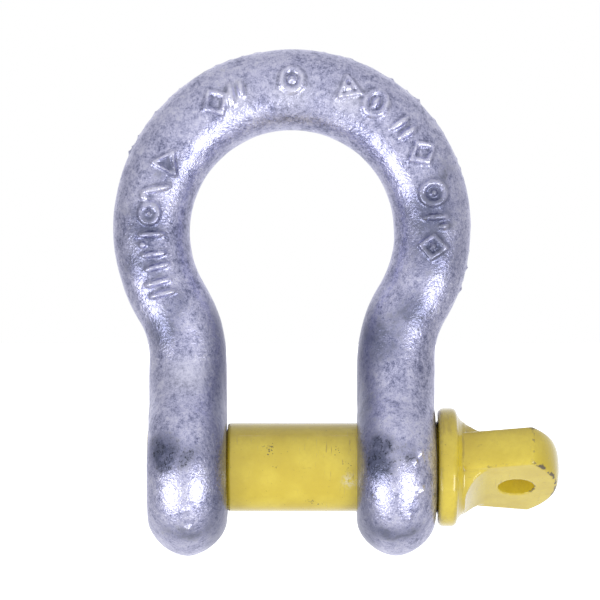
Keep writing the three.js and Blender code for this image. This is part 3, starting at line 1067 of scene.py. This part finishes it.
# Painted shade on the legs' inner sides.
shaded_inner_side = zinc.step(x.absolute(), 20, 15.5) * zinc.step(z, 44, 30)
at_ears = zinc.step(z, 10, 6) * zinc.step(z, -5, -1)
stain_and_shade = zinc.step(stain_and_shade * (1 + 3.5 * (cloud - 0.5) + 1.6 * (crystal - 0.5)), 0.10, 1.25)
pits = zinc.step(crystal, 0.58, 0.65) * zinc.step(cloud, 0.46, 0.58)
scattered = pits * zinc.step(blotch, 0.50, 0.62)
burnt = zinc.step(crystal + 0.4 * grain, 0.74, 0.84) * stain_and_shade * at_ears
# Painted shade in every crevice.
shaded_crevice = zinc.step(relief, 0.40, 0.12)
print(len(STAINS_AND_SHADE), "stains and", len(RUBBED_AND_HIGHLIT), "rubbed places")

# %% Zinc's surface
SHINE_AND_HIGHLIGHT = (0.84, 0.84, 1.0, 1)
SHADE = (0.16, 0.17, 0.27, 1)
CREVICE_SHADE = (0.10, 0.11, 0.18, 1)
FLUX_STAIN_AND_SHADE = (0.07, 0.085, 0.16, 1)
BURNT_FLUX = (0.02, 0.025, 0.04, 1)
BUMP_DEPTH = 0.36
# Painted highlight, partly rubbed shine.
metal = zinc.mix(rubbed_and_highlit * (0.2 + 0.7 * crystal), skin, SHINE_AND_HIGHLIGHT)
# Painted shade on the inner sides.
metal = zinc.mix(shaded_inner_side * (0.35 + 0.5 * cloud), metal, SHADE)
# Painted shade in the crevices.
metal = zinc.mix(shaded_crevice * 0.55, metal, CREVICE_SHADE)
# Stains, and painted shade on the ears.
metal = zinc.mix(stain_and_shade * (0.50 + 0.4 * crystal + 0.1 * at_ears), metal, FLUX_STAIN_AND_SHADE)
metal = zinc.mix(scattered * 0.22 + burnt * 0.9, metal, BURNT_FLUX)
zinc.feed(zinc.shader.inputs["Base Color"], metal)
roughness = 0.17 + 0.26 * crystal + 0.06 * blotch + 0.2 * burnt
zinc.feed(zinc.shader.inputs["Roughness"], roughness)
facets = zinc.noise(0.5, 2, 0.5)
dents = zinc.noise(2.4, 2, 0.5)
zinc.bump(0.32 * facets + 0.35 * dents - 0.15 * scattered, BUMP_DEPTH)
zinc.put_on(bow)

# %% [markdown]
# ## Yellow paint
# The pin was dipped in gloss enamel over dark steel. The coat itself is plain: two yellows in broad
# patches, with a fine fleck, and a clear coat for its gloss.

# %% Paint's colour
DEEP_YELLOW = (0.67, 0.51, 0.033, 1)
BRIGHT_YELLOW = (0.77, 0.61, 0.055, 1)
FLECK_YELLOW = (0.60, 0.44, 0.03, 1)
paint = Finish("yellow_paint", Coat_Weight=1.0, Coat_Roughness=0.05)
patch = paint.noise(7, 3, 0.5)
fleck = paint.noise(0.9, 4, 0.6)
colour = paint.mix(paint.step(patch, 0.35, 0.65), DEEP_YELLOW, BRIGHT_YELLOW)
colour = paint.mix(paint.step(fleck, 0.35, 0.65) * 0.22, colour, FLECK_YELLOW)
print("paint in", len({DEEP_YELLOW, BRIGHT_YELLOW, FLECK_YELLOW}), "yellows")

# %% [markdown]
# ## Wear, painted shade and a painted highlight on the paint
# The paint's life is in its wear. It is chipped to dark steel in groups of specks and along the
# head's edges, and it has fine scratches round the shank where the shackle turned and a few along it.
# One pale spot by the right ear is a painted highlight, the upper side is darkened as painted shade,
# and the paint is browner and darker in its corners.

# %% Paint's chips, scratches and a painted highlight
CHIPS = (
    # a point and how far chips lie round it in mm, and how many of them there are
    ((-4.8, -9, 4.3), 2.6, 0.16), ((-3.2, -9.4, 0.6), 1.0, 0.12), ((3.9, -6.5, -6.8), 1.6, 0.14),
    ((-12.8, -9, 0), 0.9, 0.13), ((5.6, -6, -7.4), 2.2, 0.12), ((11.5, -9.3, 0.2), 2.4, 0.10),
    ((9.6, -8.5, 3.6), 2.0, 0.10), ((45.5, -6, 2.6), 1.6, 0.12), ((49.8, -5, -2.0), 0.9, 0.20),
)
speck = paint.noise(0.35, 2, 0.5)
chips = paint.step(speck + paint.gather(CHIPS) * 1.3, 0.73, 0.77)
turned = paint.near((11, -9, 2), 9)
round_shank = paint.step(paint.noise(0.55, 3, 0.6, stretch=(1, 0.1, 0.1)), 0.60, 0.68)
scratched = round_shank * (0.4 * paint.step(patch, 0.48, 0.60) + 0.9 * turned)
along_shank = paint.noise(0.5, 2, 0.6, stretch=(0.12, 1, 1), shift=(4, 9, 2))
drawn = paint.step(along_shank, 0.66, 0.72) * paint.step(fleck, 0.5, 0.6)
# A pale spot by the right ear: a painted highlight.
pale_highlight = paint.near((12, -9.3, -2.6), 2.4) * paint.step(fleck, 0.42, 0.62)
print(len(CHIPS), "groups of chips")

# %% Paint's edges, corners and painted shade on top
relief = paint.attribute("relief")
ragged = paint.noise(1.6, 4, 0.65)
x, _, z = paint.place_parts()
edge = paint.step(relief + (ragged - 0.5) * 0.5, 0.66, 0.76)
knocked = paint.step(x, 48, 52) + paint.near((41.8, -9, -0.2), 3.5) * 2
spared = 0.25 + 0.75 * paint.step(patch, 0.62, 0.50)
worn = edge * paint.step(ragged + 0.1 * knocked, 0.54, 0.62) * (0.2 + 0.8 * knocked) * spared
# Browner and darker where the surface lies low, in corners.
corner_darkening = paint.step(relief, 0.40, 0.22)
# Darker on the upper side: painted shade.
shaded_top = paint.step(z, 3.5, 11)
print("edges wear most past x = 48 mm")

# %% Paint's surface
TOP_SHADE = (0.36, 0.26, 0.045, 1)
SCRATCH = (0.30, 0.20, 0.03, 1)
DRAWN_SCRATCH = (0.30, 0.20, 0.04, 1)
PAINTED_HIGHLIGHT = (0.86, 0.78, 0.56, 1)
CORNER_BROWN = (0.25, 0.16, 0.03, 1)
CHIPPED = (0.05, 0.035, 0.025, 1)
BARE_STEEL = (0.07, 0.05, 0.045, 1)
COAT_DEPTH = 0.08
# Painted shade on the upper side, with a fleck in it.
colour = paint.mix(shaded_top * (0.2 + 0.4 * fleck), colour, TOP_SHADE)
colour = paint.mix(scratched * 0.75, colour, SCRATCH)
colour = paint.mix(drawn * 0.35, colour, DRAWN_SCRATCH)
# Painted highlight.
colour = paint.mix(pale_highlight * 0.8, colour, PAINTED_HIGHLIGHT)
# Browner and darker in corners.
colour = paint.mix(corner_darkening * 0.55, colour, CORNER_BROWN)
colour = paint.mix(chips * 0.85, colour, CHIPPED)
colour = paint.mix(worn * 0.9, colour, BARE_STEEL)
paint.feed(paint.shader.inputs["Base Color"], colour)
roughness = 0.16 + 0.10 * patch + 0.3 * scratched + 0.35 * worn
paint.feed(paint.shader.inputs["Roughness"], roughness)
runs = paint.noise(1.8, 2, 0.5)
paint.bump(0.6 * runs + 0.15 * fleck - 0.4 * worn - 0.3 * chips, COAT_DEPTH)
paint.put_on(pin)

# %% [markdown]
# ## Camera
# The camera looks straight at the bow along Y. A long lens from most of a metre away keeps the two
# ears the same size and shows hardly anything of their sides.

# %% Camera
CAMERA_PLACE = (1.7 * MM, -0.836, 35.4 * MM)
SENSOR_WIDTH = 36
LENS = 236.8
FARTHEST = 20
bpy.ops.object.select_all(action="DESELECT")
bpy.ops.object.camera_add(location=CAMERA_PLACE, rotation=(math.pi / 2, 0, 0))
camera = bpy.context.object
camera.data.sensor_width = SENSOR_WIDTH
camera.data.lens = LENS
camera.data.clip_end = FARTHEST
bpy.context.scene.camera = camera
print("camera", round(-CAMERA_PLACE[1] / MM), "mm in front, lens", LENS, "mm")

# %% [markdown]
# ## Floor
# The shackle stands on a pale sheet of diffuser, as on a light table. The sheet glows evenly, takes
# no shadow and stays out of reflections, and light passes it from below.

# %% Floor
FLOOR_SIZE = 8
bpy.ops.mesh.primitive_plane_add(size=FLOOR_SIZE, location=(0, 0, cad_box[0][2]))
floor = bpy.context.object
floor.name = "floor"
floor.visible_shadow = False
floor.visible_glossy = False
floor.visible_diffuse = False
diffuser = Finish("pale_diffuser", Base_Color=(0.85, 0.85, 0.85, 1), Roughness=0.9)
diffuser.shader.inputs["Emission Color"].default_value = (1, 1, 1, 1)
diffuser.shader.inputs["Emission Strength"].default_value = 1.0
diffuser.put_on(floor)

# %% [markdown]
# ## Softboxes
# Two softboxes shine up through the sheet from the front, one on each side. Each makes one of the two
# tall highlights low on every ear, and a streak inside the crown.

# %% Lights
AIM = Vector((0, 0, 0.02))
SOFTBOX_DISTANCE = 0.9


def softbox(name, azimuth, elevation, wide, tall, power):
    """A rectangular light that faces a point just above the pin. Azimuth is from the camera's side."""
    across = math.radians(azimuth)
    up = math.radians(elevation)
    level = math.cos(up)
    away = Vector((math.sin(across) * level, -math.cos(across) * level, math.sin(up)))
    bpy.ops.object.light_add(type="AREA", location=AIM + away * SOFTBOX_DISTANCE)
    light = bpy.context.object
    light.name = name
    light.rotation_euler = away.to_track_quat("Z", "Y").to_euler()
    light.data.shape = "RECTANGLE"
    light.data.size = wide
    light.data.size_y = tall
    light.data.energy = power
    print(name, wide, "by", tall, "m,", power, "W")


softbox("softbox_left", -55, -27, 0.34, 0.46, 2.1)
softbox("softbox_right", 38, -27, 0.40, 0.46, 2.3)

# %% [markdown]
# ## The white room
# The world is a plain room without windows. Its front is bright, its middle dimmer and its back
# bright again, so that round metal shows a dark middle and pale edges. Seen directly it is white.

# %% World
FRONT_TO_BACK = (
    # how far back, from 0 to 1, and how bright
    (0.0, 0.85), (0.10, 0.66), (0.32, 0.52), (0.50, 0.44), (0.72, 0.40), (0.86, 0.60), (0.97, 1.0),
)
TOP_LIGHT = 0.22
UNDER_LIGHT = 0.22
world = bpy.data.worlds.new("white_room")
bpy.context.scene.world = world
world.use_nodes = True
room = Graph(world.node_tree)
direction = room.node("ShaderNodeTexCoord").outputs["Generated"]
split = room.node("ShaderNodeSeparateXYZ", None, {0: direction})
how_far_back = Value(room, split.outputs["Y"]) * 0.5 + 0.5
height = Value(room, split.outputs["Z"])
walls = room.ramp(how_far_back, [(place, (level, level, level)) for place, level in FRONT_TO_BACK])
ceiling = room.step(height, -0.1, 1.0) * TOP_LIGHT
ground = room.step(height, -0.1, -0.8) * UNDER_LIGHT
glow = walls + ceiling + ground
camera_ray = Value(room, room.node("ShaderNodeLightPath").outputs["Is Camera Ray"])
background = world.node_tree.nodes["Background"]
background.inputs["Color"].default_value = (1, 1, 1, 1)
room.feed(background.inputs["Strength"], camera_ray + (1 - camera_ray) * glow)
bpy.context.scene.view_settings.view_transform = "Standard"
print("room of", len(FRONT_TO_BACK), "brightnesses from front to back")

# %% [markdown]
# ## Riding, replacing and finishing
# Each forging rides on its own body, so the pin slides out of the bow, and each stands for the CAD
# node of the same piece.

# %% Hand over
for piece, body, node, slot in (
    (bow, "shackle_body", "bow", "galvanised_zinc"),
    (pin, "pin_body", "screw_pin", "yellow_paint"),
):
    use_only(piece)
    bpy.ops.object.shade_smooth_by_angle(angle=math.radians(35))
    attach(piece, body)
    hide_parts(node)
    measure(piece)
